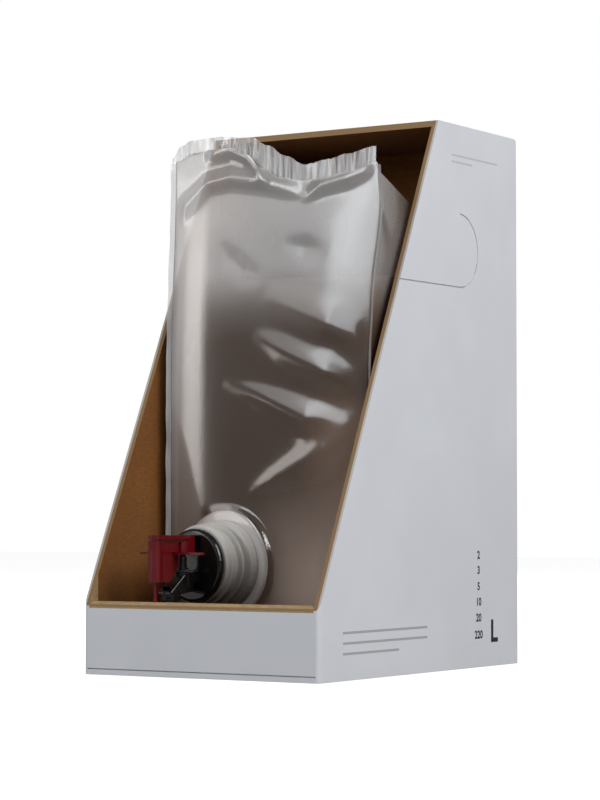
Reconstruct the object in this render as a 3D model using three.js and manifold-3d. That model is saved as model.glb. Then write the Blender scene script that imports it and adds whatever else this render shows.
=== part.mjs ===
// Bag-in-box wine: an open-fronted corrugated carton, a clear film bag of wine and a lever tap.
// Millimetres, +Z up. The origin is the middle of the carton's base; the front faces -Y.
import * as THREE from 'three';
import { mergeVertices } from 'three/addons/utils/BufferGeometryUtils.js';
import Module from 'manifold-3d';

const wasm = await Module();
wasm.setup();

// Carton, a folded sheet of corrugated board
const cartonWidth = 138;
const cartonDepth = 200;
const cartonHeight = 280;
const board = 3.3;
const frontHeight = 36.3;
const sideLipHeight = 34;
const topPanelDepth = 85.5;
const foldRadius = 2.2;
const rearFoldRadius = 4.5;
const glueTabWidth = 28;
const glueTabMargin = 14;
const slitHeight = 2.6;
const slitWidth = 0.6;
const slitDepth = 1.3;

// Die-cut tab in the right panel, still joined to the sheet
const tabCentreHeight = 215;
const tabRadius = 19;
const tabDepthFromFront = 136.5;
const tabScoreWidth = 0.7;
const tabScoreDepth = 0.8;

// Film bag: its room in the carton, its foot, its sloping top and its welded seams
const bagLeftGap = 7.8;
const bagRightGap = 4.6;
const bagFrontSetback = 57.4;
const bagBackGap = 1.2;
const bagTopGap = 30;
const bagTopDrop = 28;
const bagLean = 4.6;
const bagLeanFrom = 110;
const bagFootRadius = 16;
const bagShoulderRadius = 20;
const bagFrontCorner = 3;
const bagBackCorner = 22;
const bagSideBulge = 1.2;
const filmWall = 1;
const sealWall = 1.4;
const sealOverlap = 6;
const sideSeamWidth = 3;
const sideSeamWall = 1.2;
const sideSeamSetback = 1.5;
const wineLevel = 198;

// The seal across the bag, from its left end (-1) to its right end (1): the heights of its lower
// and upper edges over the bag's top line
const sealStations = [-1, -0.7, -0.35, -0.1, 0.15, 0.4, 0.7, 1];
const sealRootRise = [12, 16, 15.5, 7, -0.5, -3.5, -1.5, 3];
const sealEdgeRise = [18.5, 22.4, 22.6, 17, 10, 4.6, 7.4, 11];

// Gland and its place on the bag
const glandHeight = 53.6;
const glandOffsetX = -23.2;
const glandAhead = 2;
const glandTurn = THREE.MathUtils.degToRad(-6);
const flangeRadius = 27.5;
const flangeWall = 1.8;
const flangeSlack = 0.6;
const filmPadDepth = 10;
const neckBaseRadius = 22.5;
const neckBaseLength = 4;
const neckBaseTaper = 1;
const neckRadius = 19.2;
const neckLength = 20.4;
const neckBore = 17;
const ringChamfer = 0.4;
const neckRings = [
  { at: 9, width: 2, radius: 21.5 },
  { at: 16, width: 1.8, radius: 20.6 },
];

// Tap body
const barrelWall = 2;
const barrelStart = 2;
const capRadius = 18.5;
const capLength = 3.2;
const capRound = 1.8;
const capChamfer = 0.6;
const capWall = 2.2;
const sealGrooveAt = 6;
const sealGrooveWidth = 2.4;
const sealGrooveDepth = 1.3;
const neckSealBevel = 0.3;
const stemAhead = 7.4;
const chamberRadius = 4.9;
const chamberBore = 3.5;
const chamberTop = -3;
const chamberFloor = -8;
const chamberFoot = -12.6;
const chamberFootChamfer = 2;
const seatBore = 1.9;
const inletBore = 2.2;
const inletRise = 0.3;
const outletBore = 1.6;
const outletDrop = 0.5;
const ductRadius = 3.4;
const ductDrop = 0.2;
const spoutAhead = 16.3;
const spoutRadius = 5.2;
const spoutBore = 3.9;
const spoutBoreRise = 2;
const spoutFoot = -17.2;
const spoutTop = -12;
const spoutLip = 1.4;
const spoutLipStep = 0.5;
const spoutLipChamfer = 0.4;
const elbowHalfWidth = 4.4;
const elbowShoulder = 1.2;
const elbowLead = 3.2;
const elbowNose = 0.6;
const elbowWall = 1;
const elbowRound = 0.8;
const lugHalfWidth = 1.6;
const lugRadius = 2;
const lugFlare = 1.2;

// Lever
const pivotAhead = 2.7;
const pivotHeight = 10.6;
const pinRadius = 1;
const pinCover = 0.6;
const leverHalfWidth = 3.7;
const leverRearAhead = 2.4;
const leverTop = 15.4;
const leverPlateWall = 2.1;
const leverGroove = 1.2;
const leverGrooveDepth = 0.9;
const noseAhead = 27.5;
const noseRadius = 3.6;
const noseFoot = -7.7;
const webHalfWidth = 2.2;
const webCutRun = 7.6;
const webCutRise = 8.8;
const rearBarrelRadius = 3.7;
const leverFoot = 6.4;
const leverSlotRun = 9;
const pocketFloor = 1.6;
const pocketRoof = 0.8;
const wingSpan = 40;
const wingAhead = 15.3;
const wingHeight = 6.4;
const wingWall = 1.2;
const wingChord = 4.4;
const wingTipRadius = 0.88;
const tamperPinRadius = 0.85;
const tamperFootRadius = 1.2;
const tamperFootHeight = 1;

// Valve stem, its seal and the elastic diaphragm
const stemRadius = 2.2;
const stemNeckRadius = 1;
const stemHeadRadius = 1.8;
const stemFootRadius = 1.6;
const stemSpigotRadius = 1.2;
const stemFlangeRadius = 3;
const stemFlangeHeight = 0.8;
const stemCollarRadius = 3;
const collarHeight = 0.8;
const stemChamfer = 0.2;
const stemShoulderDrop = 2.2;
const stemHeadDrop = 0.4;
const stemHeadHalf = 0.5;
const stemHeadCone = 0.7;
const stemHeadRound = 0.8;
const diaphragmWall = 0.8;
const diaphragmInset = 0.4;
const valveSealHeight = 1.1;
const valveSealInset = 0.6;
const valveSealTaper = 0.6;
const headRoom = 0.6;

// Running gap between pieces, how far joined shapes overlap, and how far a cut runs past a face
const clearance = 0.3;
const lap = 0.5;
const past = 1;
const roundSteps = 40;
const smallSteps = 24;
const fineSteps = 16;

const colours = {
  boardFace: 0xd3d4da,
  film: 0xcfcac6,
  wine: 0x7c5f40,
  gland: 0xdedbd6,
  black: 0x0b0b0c,
  red: 0x7d0a10,
  elastic: 0x2c2c2e,
};

function material(colour, roughness, extra = {}) {
  return new THREE.MeshStandardMaterial({ color: colour, roughness, metalness: 0, ...extra });
}

// A closed three.js geometry as a solid for joining and cutting
function solid(geometry) {
  const bare = geometry.index ? geometry.toNonIndexed() : geometry.clone();
  bare.deleteAttribute('normal');
  bare.deleteAttribute('uv');
  const merged = mergeVertices(bare, 1e-4);
  return new wasm.Manifold(
    new wasm.Mesh({
      numProp: 3,
      vertProperties: new Float32Array(merged.attributes.position.array),
      triVerts: new Uint32Array(merged.index.array),
    }),
  );
}

function geometryOf(manifold) {
  const mesh = manifold.getMesh();
  const geometry = new THREE.BufferGeometry();
  const count = mesh.vertProperties.length / mesh.numProp;
  const position = new Float32Array(count * 3);
  for (let i = 0; i < count; i += 1) {
    for (let k = 0; k < 3; k += 1) {
      position[i * 3 + k] = mesh.vertProperties[i * mesh.numProp + k];
    }
  }
  geometry.setAttribute('position', new THREE.BufferAttribute(position, 3));
  geometry.setIndex(new THREE.BufferAttribute(new Uint32Array(mesh.triVerts), 1));
  geometry.computeVertexNormals();
  return geometry;
}

function named(name, geometry, look) {
  const mesh = new THREE.Mesh(geometry, look);
  mesh.name = name;
  return mesh;
}

// A box given by its low and high corners
function slab(low, high) {
  const size = high.map((value, i) => value - low[i]);
  const box = new THREE.BoxGeometry(...size);
  return box.translate(...low.map((value, i) => value + size[i] / 2));
}

// A turned shape about +Z from a closed outline of [radius, height] points
function turned(outline, steps = smallSteps) {
  const points = [...outline, outline[0]].map(([r, z]) => new THREE.Vector2(r, z));
  return new THREE.LatheGeometry(points, steps).rotateX(Math.PI / 2);
}

// A post about +Z
function post(radius, low, high, steps = smallSteps) {
  return turned([[0, low], [radius, low], [radius, high], [0, high]], steps);
}

// A shape drawn in the Y-Z plane and given a width along X, centred on x = 0
function sideExtrusion(shape, width, options = {}) {
  const depth = width - 2 * (options.bevelThickness ?? 0);
  const geometry = new THREE.ExtrudeGeometry(shape, {
    depth,
    bevelEnabled: false,
    curveSegments: 8,
    ...options,
  });
  geometry.translate(0, 0, -depth / 2);
  return geometry.applyMatrix4(new THREE.Matrix4().makeBasis(
    new THREE.Vector3(0, 1, 0),
    new THREE.Vector3(0, 0, 1),
    new THREE.Vector3(1, 0, 0),
  ));
}

// Carton
const front = -cartonDepth / 2;
const back = cartonDepth / 2;
const innerHalfWidth = cartonWidth / 2 - board;
const topFront = back - topPanelDepth;

function cartonOutline() {
  const outline = new THREE.Shape();
  outline.moveTo(front, 0);
  outline.lineTo(back, 0);
  outline.lineTo(back, cartonHeight - rearFoldRadius);
  outline.absarc(back - rearFoldRadius, cartonHeight - rearFoldRadius, rearFoldRadius, 0, Math.PI / 2);
  outline.lineTo(topFront, cartonHeight);
  outline.lineTo(front, sideLipHeight);
  return outline;
}

function roundedPlan() {
  const half = cartonWidth / 2;
  const r = foldRadius;
  const plan = new THREE.Shape();
  plan.moveTo(-half + r, front);
  plan.lineTo(half - r, front);
  plan.absarc(half - r, front + r, r, -Math.PI / 2, 0);
  plan.lineTo(half, back - r);
  plan.absarc(half - r, back - r, r, 0, Math.PI / 2);
  plan.lineTo(-half + r, back);
  plan.absarc(-half + r, back - r, r, Math.PI / 2, Math.PI);
  plan.lineTo(-half, front + r);
  plan.absarc(-half + r, front + r, r, Math.PI, 1.5 * Math.PI);
  return new THREE.ExtrudeGeometry(plan, { depth: cartonHeight, bevelEnabled: false, curveSegments: 5 });
}

// The low front wall: the sheet goes up, rolls over and comes down inside
function rolledFront() {
  const outline = new THREE.Shape();
  outline.moveTo(front, 0);
  outline.lineTo(front + 2 * board, 0);
  outline.lineTo(front + 2 * board, frontHeight - board);
  outline.absarc(front + board, frontHeight - board, board, 0, Math.PI);
  return sideExtrusion(outline, 2 * innerHalfWidth);
}

function glueTab() {
  const low = board + glueTabMargin;
  const high = cartonHeight - board - glueTabMargin;
  const outline = new THREE.Shape();
  outline.moveTo(-innerHalfWidth, low);
  outline.lineTo(-innerHalfWidth + glueTabWidth, low + glueTabMargin);
  outline.lineTo(-innerHalfWidth + glueTabWidth, high - glueTabMargin);
  outline.lineTo(-innerHalfWidth, high);
  const tab = new THREE.ExtrudeGeometry(outline, { depth: board, bevelEnabled: false });
  return tab.rotateX(Math.PI / 2).translate(0, back - board, 0);
}

// The cut line of the tab: straight in from the slanted edge, then round its end
function tabScore() {
  const outer = tabRadius + tabScoreWidth / 2;
  const inner = tabRadius - tabScoreWidth / 2;
  const centre = front + tabDepthFromFront;
  const edgeRun = (topFront - front) / (cartonHeight - sideLipHeight);
  const start = front + (tabCentreHeight - tabRadius - sideLipHeight) * edgeRun - board;
  const line = new THREE.Shape();
  line.moveTo(start, tabCentreHeight - outer);
  line.lineTo(centre, tabCentreHeight - outer);
  line.absarc(centre, tabCentreHeight, outer, -Math.PI / 2, Math.PI / 2);
  line.lineTo(centre, tabCentreHeight + inner);
  line.absarc(centre, tabCentreHeight, inner, Math.PI / 2, -Math.PI / 2, true);
  line.lineTo(start, tabCentreHeight - inner);
  return sideExtrusion(line, 2 * tabScoreDepth, { curveSegments: 16 }).translate(cartonWidth / 2, 0, 0);
}

function cartonGeometry() {
  const block = solid(roundedPlan()).intersect(solid(sideExtrusion(cartonOutline(), cartonWidth + 2 * past)));
  const inside = solid(slab(
    [-innerHalfWidth, front - board, board],
    [innerHalfWidth, back - board, cartonHeight - board],
  ));
  const overFront = solid(slab(
    [-innerHalfWidth, front - board, -board],
    [innerHalfWidth, front + 2 * board, cartonHeight + board],
  ));
  const slit = solid(slab(
    [-cartonWidth / 2 + foldRadius, front - board, slitHeight],
    [cartonWidth / 2 - foldRadius, front + slitDepth, slitHeight + slitWidth],
  ));
  return geometryOf(
    block
      .subtract(inside)
      .subtract(overFront)
      .add(solid(rolledFront()))
      .add(solid(glueTab()))
      .subtract(slit)
      .subtract(solid(tabScore())),
  );
}

// Film bag: a loft of level rings that tilt near the top and close on the seal
const bagFloor = board + clearance;
const bagTop = cartonHeight - bagTopGap;
const bagFront = front + bagFrontSetback;
const bagBack = back - 2 * board - bagBackGap;
const bagLeft = -innerHalfWidth + bagLeftGap;
const bagRight = innerHalfWidth - bagRightGap;
const bagMiddle = [(bagLeft + bagRight) / 2, (bagFront + bagBack) / 2, (bagFloor + bagTop) / 2];
const bagHalf = [(bagRight - bagLeft) / 2, (bagBack - bagFront) / 2, (bagTop - bagFloor) / 2];
const sealRoot = new THREE.CubicInterpolant(sealStations, sealRootRise, 1);
const sealEdge = new THREE.CubicInterpolant(sealStations, sealEdgeRise, 1);

// How far back the front film lies at a height
function filmFrontAt(height) {
  return bagFront + bagLean * THREE.MathUtils.smoothstep(height, bagLeanFrom, bagTop);
}

// A rounded rectangle, counted from its front left corner: tight corners in front, wide ones behind
function ringPlan(left, right, near, far) {
  const frontCorner = Math.min(bagFrontCorner, (far - near) / 2);
  const backCorner = Math.min(bagBackCorner, (far - near) / 2);
  const corners = [
    { x: left + frontCorner, y: near + frontCorner, radius: frontCorner, from: 1, steps: 2, run: 14 },
    { x: right - frontCorner, y: near + frontCorner, radius: frontCorner, from: 1.5, steps: 2, run: 3 },
    { x: right - backCorner, y: far - backCorner, radius: backCorner, from: 0, steps: 5, run: 10 },
    { x: left + backCorner, y: far - backCorner, radius: backCorner, from: 0.5, steps: 5, run: 3 },
  ];
  const arcs = corners.map(({ x, y, radius, from, steps }) => Array.from({ length: steps + 1 }, (_, i) => {
    const angle = Math.PI * (from + i / (2 * steps));
    return new THREE.Vector2(x + radius * Math.cos(angle), y + radius * Math.sin(angle));
  }));
  return arcs.flatMap((arc, i) => {
    const start = arc[arc.length - 1];
    const end = arcs[(i + 1) % arcs.length][0];
    const run = corners[i].run;
    const between = Array.from({ length: run - 1 }, (_, k) => start.clone().lerp(end, (k + 1) / run));
    return [...arc, ...between];
  });
}

// One ring of the bag: level in front at frontHeight, level behind at backHeight, and closed on the
// seal's wavy line by the share seal
function bagRing({ inset = 0, frontHeight, far = bagBack, backHeight, seal = 0 }) {
  const near = filmFrontAt(frontHeight) + inset;
  const plan = ringPlan(bagLeft + inset, bagRight - inset, near, far - inset);
  return plan.map(({ x, y }) => {
    const back = (y - near) / (far - inset - near);
    const across = (x - bagMiddle[0]) / bagHalf[0];
    const height = THREE.MathUtils.lerp(frontHeight, backHeight, back);
    const bulge = bagSideBulge * Math.sin(Math.PI * back) * across * (1 - seal);
    return [x + bulge, y, height + seal * sealRoot.evaluate(across)[0]];
  });
}

function bagRings() {
  const rings = [];
  const footSteps = 4;
  const wallSteps = 6;
  const shoulderSteps = 4;
  const topSteps = 5;
  for (let step = 0; step < footSteps; step += 1) {
    const angle = (Math.PI / 2) * (step / footSteps);
    const height = bagFloor + bagFootRadius * (1 - Math.cos(angle));
    rings.push(bagRing({
      inset: bagFootRadius * (1 - Math.sin(angle)),
      frontHeight: height,
      backHeight: height,
    }));
  }
  const wallFoot = bagFloor + bagFootRadius;
  const backTop = bagTop - bagTopDrop;
  const backShoulder = backTop - bagShoulderRadius;
  const steps = wallSteps + shoulderSteps + topSteps;
  for (let step = 0; step <= steps; step += 1) {
    const frontHeight = THREE.MathUtils.lerp(wallFoot, bagTop, step / steps);
    const shoulder = THREE.MathUtils.clamp((step - wallSteps) / shoulderSteps, 0, 1) * (Math.PI / 2);
    const close = Math.max(step - wallSteps - shoulderSteps, 0) / topSteps;
    const wall = THREE.MathUtils.lerp(wallFoot, backShoulder, Math.min(step / wallSteps, 1));
    const far = bagBack - bagShoulderRadius * (1 - Math.cos(shoulder));
    rings.push(bagRing({
      frontHeight,
      far: THREE.MathUtils.lerp(far, filmFrontAt(bagTop) + sealWall, close),
      backHeight: THREE.MathUtils.lerp(wall + bagShoulderRadius * Math.sin(shoulder), bagTop, close),
      seal: close ** 2,
    }));
  }
  return rings;
}

// A closed skin over a stack of rings that all have as many points
function loft(rings) {
  const around = rings[0].length;
  const index = [];
  for (let level = 0; level < rings.length - 1; level += 1) {
    for (let step = 0; step < around; step += 1) {
      const next = (step + 1) % around;
      const low = level * around;
      const high = low + around;
      index.push(low + step, low + next, high + next);
      index.push(low + step, high + next, high + step);
    }
  }
  const lid = (ring) => THREE.ShapeUtils.triangulateShape(ring.map(([x, y]) => new THREE.Vector2(x, y)), []);
  const last = (rings.length - 1) * around;
  for (const [a, b, c] of lid(rings[0])) {
    index.push(a, c, b);
  }
  for (const [a, b, c] of lid(rings[rings.length - 1])) {
    index.push(last + a, last + b, last + c);
  }
  const geometry = new THREE.BufferGeometry();
  geometry.setAttribute('position', new THREE.Float32BufferAttribute(rings.flat(2), 3));
  geometry.setIndex(index);
  return geometry;
}

// What fits in the bag's form with inset to spare on every side
function bagForm(inset) {
  const share = bagHalf.map((half) => (half - inset) / half);
  const middle = bagMiddle;
  return loft(bagRings())
    .translate(-middle[0], -middle[1], -middle[2])
    .scale(...share)
    .translate(...middle);
}

// The top seal: a welded band that stands on the bag's top line
function topSeal() {
  const half = bagHalf[0];
  const columns = 28;
  const stations = Array.from({ length: columns + 1 }, (_, i) => -1 + (2 * i) / columns);
  const outline = stations.map((at) => new THREE.Vector2(half * at, bagTop + sealEdge.evaluate(at)[0]));
  for (const at of stations.reverse()) {
    outline.push(new THREE.Vector2(half * at, bagTop + sealRoot.evaluate(at)[0] - sealOverlap));
  }
  const band = new THREE.ExtrudeGeometry(new THREE.Shape(outline), { depth: sealWall, bevelEnabled: false });
  return band.rotateX(Math.PI / 2).translate(bagMiddle[0], filmFrontAt(bagTop) + sealWall, 0);
}

// A side seam: a welded strip that runs up the bag's front corner and follows its lean
function sideSeam(side) {
  const steps = 8;
  const low = bagFloor + bagFootRadius;
  const edge = (offset) => Array.from({ length: steps + 1 }, (_, i) => {
    const height = THREE.MathUtils.lerp(low, bagTop, i / steps);
    return new THREE.Vector2(filmFrontAt(height) + sideSeamSetback + offset, height);
  });
  const outline = new THREE.Shape([...edge(0), ...edge(sideSeamWall).reverse()]);
  const corner = side < 0 ? bagLeft : bagRight;
  return sideExtrusion(outline, 2 * sideSeamWidth).translate(corner, 0, 0);
}

// The tap's own frame: its axis leaves the bag along local -Y, turned a little to the left
const tap = new THREE.Group();
tap.position.set(glandOffsetX, bagFront - glandAhead, glandHeight);
tap.rotation.z = glandTurn;
tap.updateMatrix();

// A turned shape whose axis is the tap's own, from [radius, distance ahead of the film] points
function alongTap(outline, steps = roundSteps) {
  return turned(outline, steps).rotateX(Math.PI / 2);
}

function disc(radius, from, to, steps = roundSteps) {
  return alongTap([[0, from], [radius, from], [radius, to], [0, to]], steps);
}

const flangePocket = flangeRadius + flangeSlack;
const filmPad = flangePocket + filmWall;

function filmGeometry() {
  const pad = solid(disc(filmPad, -filmPadDepth, filmWall).applyMatrix4(tap.matrix));
  const pocket = solid(disc(flangePocket, -filmPadDepth, 0).applyMatrix4(tap.matrix));
  const mouth = solid(disc(neckBaseRadius + clearance, -filmPadDepth, filmPadDepth).applyMatrix4(tap.matrix));
  return geometryOf(
    solid(bagForm(0))
      .add(solid(topSeal()))
      .add(solid(sideSeam(-1)))
      .add(solid(sideSeam(1)))
      .add(pad)
      .subtract(solid(bagForm(filmWall)))
      .subtract(pocket)
      .subtract(mouth),
  );
}

function wineGeometry() {
  const level = solid(slab(
    [-cartonWidth, -cartonDepth, wineLevel],
    [cartonWidth, cartonDepth, 2 * cartonHeight],
  ));
  const glandRoom = solid(disc(flangePocket, -flangeWall - 2 * clearance, 0).applyMatrix4(tap.matrix));
  return geometryOf(solid(bagForm(filmWall + clearance)).subtract(level).subtract(glandRoom));
}

// Gland: a flange welded inside the film and a ringed neck
function glandGeometry() {
  const back = -clearance - flangeWall;
  const outline = [
    [neckBore, back],
    [flangeRadius, back],
    [flangeRadius, -clearance],
    [neckBaseRadius, -clearance],
    [neckBaseRadius, filmWall + neckBaseLength],
    [neckRadius, filmWall + neckBaseLength + neckBaseTaper],
  ];
  for (const ring of neckRings) {
    outline.push(
      [neckRadius, ring.at],
      [ring.radius, ring.at + ringChamfer],
      [ring.radius, ring.at + ring.width - ringChamfer],
      [neckRadius, ring.at + ring.width],
    );
  }
  outline.push([neckRadius, neckLength], [neckBore, neckLength]);
  return alongTap(outline, roundSteps);
}

// Tap body: barrel, cap, valve chamber, spout and the lug that carries the lever
const capBack = neckLength + clearance;
const capFront = capBack + capLength;
const barrelRadius = neckBore - clearance;
const stemAt = capFront + stemAhead;
const spoutAt = capFront + spoutAhead;
const pivotAt = capFront + pivotAhead;

function roundedCap() {
  const outline = [[0, capBack], [capRadius - capChamfer, capBack], [capRadius, capBack + capChamfer]];
  const steps = 4;
  for (let step = 0; step <= steps; step += 1) {
    const angle = (Math.PI / 2) * (step / steps);
    outline.push([
      capRadius - capRound + capRound * Math.cos(angle),
      capFront - capRound + capRound * Math.sin(angle),
    ]);
  }
  outline.push([0, capFront]);
  return alongTap(outline);
}

function upright(radius, ahead, low, high, steps = smallSteps) {
  return post(radius, low, high, steps).translate(0, -ahead, 0);
}

function elbow() {
  const rear = -stemAt + chamberRadius - 2 * lap;
  const nose = -spoutAt - spoutRadius + elbowNose;
  const foot = spoutTop - elbowNose - elbowWall;
  const shape = new THREE.Shape();
  shape.moveTo(rear, chamberTop - elbowShoulder);
  shape.lineTo(-stemAt - elbowLead, chamberTop - elbowShoulder);
  shape.lineTo(nose, spoutTop - elbowNose);
  shape.lineTo(nose, foot);
  shape.lineTo(-spoutAt + spoutRadius, foot);
  shape.lineTo(rear, chamberFoot);
  return sideExtrusion(shape, 2 * elbowHalfWidth, {
    bevelEnabled: true,
    bevelThickness: elbowRound,
    bevelSize: lap,
    bevelOffset: -lap,
    bevelSegments: 2,
  });
}

function lug() {
  const shape = new THREE.Shape();
  shape.moveTo(-capFront + 2 * lap, pivotHeight + lugRadius);
  shape.lineTo(-capFront + 2 * lap, pivotHeight - lugRadius - lugFlare);
  shape.lineTo(-pivotAt, pivotHeight - lugRadius);
  shape.absarc(-pivotAt, pivotHeight, lugRadius, 1.5 * Math.PI, Math.PI / 2, true);
  return sideExtrusion(shape, 2 * lugHalfWidth, { curveSegments: 10 });
}

function crossBore(radius, halfLength, steps = fineSteps) {
  const bore = post(radius, -halfLength, halfLength, steps).rotateY(Math.PI / 2);
  return bore.translate(0, -pivotAt, pivotHeight);
}

function tapBodyGeometry() {
  const chamberOutline = [
    [0, chamberFoot],
    [chamberRadius - chamberFootChamfer, chamberFoot],
    [chamberRadius, chamberFoot + chamberFootChamfer],
    [chamberRadius, chamberTop],
    [0, chamberTop],
  ];
  const spoutWaist = spoutRadius - spoutLipStep;
  const spoutOutline = [
    [0, spoutFoot],
    [spoutRadius - spoutLipChamfer, spoutFoot],
    [spoutRadius, spoutFoot + spoutLipChamfer],
    [spoutRadius, spoutFoot + spoutLip],
    [spoutWaist, spoutFoot + spoutLip + spoutLipStep],
    [spoutWaist, spoutTop],
    [0, spoutTop],
  ];
  const ductHeight = chamberTop - ductRadius - ductDrop;
  const inletHeight = chamberFloor + inletBore + inletRise;
  const outletHeight = chamberFloor - outletDrop - outletBore;
  const duct = disc(ductRadius, capFront - 2 * lap, stemAt, smallSteps).translate(0, 0, ductHeight);
  const inlet = disc(inletBore, capBack, stemAt, fineSteps).translate(0, 0, inletHeight);
  const outlet = disc(outletBore, stemAt, spoutAt, fineSteps).translate(0, 0, outletHeight);
  return geometryOf(
    solid(disc(barrelRadius, barrelStart, capBack + 2 * lap))
      .add(solid(roundedCap()))
      .add(solid(turned(chamberOutline).translate(0, -stemAt, 0)))
      .add(solid(duct))
      .add(solid(elbow()))
      .add(solid(turned(spoutOutline).translate(0, -spoutAt, 0)))
      .add(solid(lug()))
      .subtract(solid(disc(barrelRadius - barrelWall, barrelStart - past, capFront - capWall)))
      .subtract(solid(alongTap([
        [barrelRadius - sealGrooveDepth, sealGrooveAt],
        [barrelRadius + past, sealGrooveAt],
        [barrelRadius + past, sealGrooveAt + sealGrooveWidth],
        [barrelRadius - sealGrooveDepth, sealGrooveAt + sealGrooveWidth],
      ])))
      .subtract(solid(upright(chamberBore, stemAt, chamberFloor, chamberTop + past)))
      .subtract(solid(upright(seatBore, stemAt, outletHeight, chamberFloor + past, fineSteps)))
      .subtract(solid(inlet))
      .subtract(solid(outlet))
      .subtract(solid(upright(spoutBore, spoutAt, spoutFoot - past, spoutTop + spoutBoreRise)))
      .subtract(solid(crossBore(pinRadius + clearance, leverHalfWidth))),
  );
}

// Seal ring in the barrel's groove
function neckSealGeometry() {
  const inner = barrelRadius - sealGrooveDepth + clearance;
  const outer = barrelRadius;
  const low = sealGrooveAt + clearance;
  const high = sealGrooveAt + sealGrooveWidth - clearance;
  const bevel = neckSealBevel;
  return alongTap([
    [inner, low + bevel],
    [inner + bevel, low],
    [outer - bevel, low],
    [outer, low + bevel],
    [outer, high - bevel],
    [outer - bevel, high],
    [inner + bevel, high],
    [inner, high - bevel],
  ], smallSteps);
}

// Lever: top plate, nose, web, rear barrel around the lug and two finger wings
const noseAt = capFront + noseAhead;
const leverRear = capFront + leverRearAhead;
const slotEnd = pivotAt + lugRadius + clearance;
const slotHalf = lugHalfWidth + clearance;
const plateFoot = leverTop - leverPlateWall;

function leverPlate(half, low, high) {
  const shape = new THREE.Shape();
  shape.moveTo(-half, -leverRear);
  shape.lineTo(-half, -noseAt);
  shape.absarc(0, -noseAt, half, Math.PI, 2 * Math.PI);
  shape.lineTo(half, -leverRear);
  const plate = new THREE.ExtrudeGeometry(shape, {
    depth: high - low,
    bevelEnabled: false,
    curveSegments: 10,
  });
  return plate.translate(0, 0, low);
}

function leverWeb() {
  const rear = stemAt + chamberRadius + clearance;
  const shape = new THREE.Shape();
  shape.moveTo(-rear, plateFoot);
  shape.lineTo(-rear, noseFoot + webCutRise);
  shape.quadraticCurveTo(-rear - webCutRun * 0.35, noseFoot + webCutRise * 0.35, -rear - webCutRun, noseFoot);
  shape.lineTo(-noseAt, noseFoot);
  shape.lineTo(-noseAt, plateFoot);
  return sideExtrusion(shape, 2 * webHalfWidth);
}

function wings() {
  const half = wingSpan / 2;
  const root = wingChord / 2;
  const tip = wingTipRadius;
  const shape = new THREE.Shape();
  shape.moveTo(-half, -tip);
  shape.lineTo(-leverHalfWidth, -root);
  shape.lineTo(leverHalfWidth, -root);
  shape.lineTo(half, -tip);
  shape.absarc(half, 0, tip, -Math.PI / 2, Math.PI / 2);
  shape.lineTo(leverHalfWidth, root);
  shape.lineTo(-leverHalfWidth, root);
  shape.lineTo(-half, tip);
  shape.absarc(-half, 0, tip, Math.PI / 2, 1.5 * Math.PI);
  const blade = new THREE.ExtrudeGeometry(shape, { depth: wingWall, bevelEnabled: false, curveSegments: 4 });
  return blade.translate(0, -capFront - wingAhead, wingHeight - wingWall / 2);
}

function leverGeometry() {
  const groovedFoot = plateFoot - leverGroove;
  const arms = slab([-leverHalfWidth, -stemAt, leverFoot], [leverHalfWidth, -leverRear, plateFoot + lap]);
  const pocketLow = leverFoot + pocketFloor;
  const neckHalf = stemNeckRadius + clearance;
  const pinSlot = slab(
    [-slotHalf, -slotEnd, leverFoot - leverSlotRun],
    [slotHalf, -leverRear + leverSlotRun, plateFoot],
  );
  const neckSlot = slab(
    [-neckHalf, -stemAt - neckHalf, leverFoot - past],
    [neckHalf, -slotEnd + lap, pocketLow + lap],
  );
  return geometryOf(
    solid(leverPlate(leverHalfWidth, plateFoot, leverTop))
      .add(solid(leverPlate(leverHalfWidth - leverGrooveDepth, groovedFoot, plateFoot + lap)))
      .add(solid(upright(noseRadius, noseAt, noseFoot, groovedFoot + lap)))
      .add(solid(leverWeb()))
      .add(solid(upright(rearBarrelRadius, stemAt, leverFoot, groovedFoot + lap)))
      .add(solid(arms))
      .add(solid(wings()))
      .subtract(solid(pinSlot))
      .subtract(solid(upright(stemHeadRadius + headRoom, stemAt, pocketLow, plateFoot - pocketRoof)))
      .subtract(solid(neckSlot))
      .subtract(solid(crossBore(pinRadius + clearance, leverHalfWidth - pinCover))),
  );
}

function leverPinGeometry() {
  return crossBore(pinRadius, leverHalfWidth - pinCover - clearance);
}

// Tamper pin: it stands between the nose and the carton's rolled lip
function tamperPinGeometry() {
  const top = noseFoot - clearance;
  const foot = frontHeight + clearance - glandHeight;
  const outline = [
    [0, foot],
    [tamperFootRadius, foot],
    [tamperFootRadius, foot + tamperFootHeight / 2],
    [tamperPinRadius, foot + tamperFootHeight],
    [tamperPinRadius, top],
    [0, top],
  ];
  return turned(outline, fineSteps).translate(0, -noseAt, 0);
}

// Valve stem: head in the lever's pocket, collar over the diaphragm, foot over the seat
const sealLow = chamberFloor + clearance;
const sealHigh = sealLow + valveSealHeight;
const diaphragmLow = chamberTop + clearance;
const collarLow = diaphragmLow + diaphragmWall + clearance;

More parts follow.
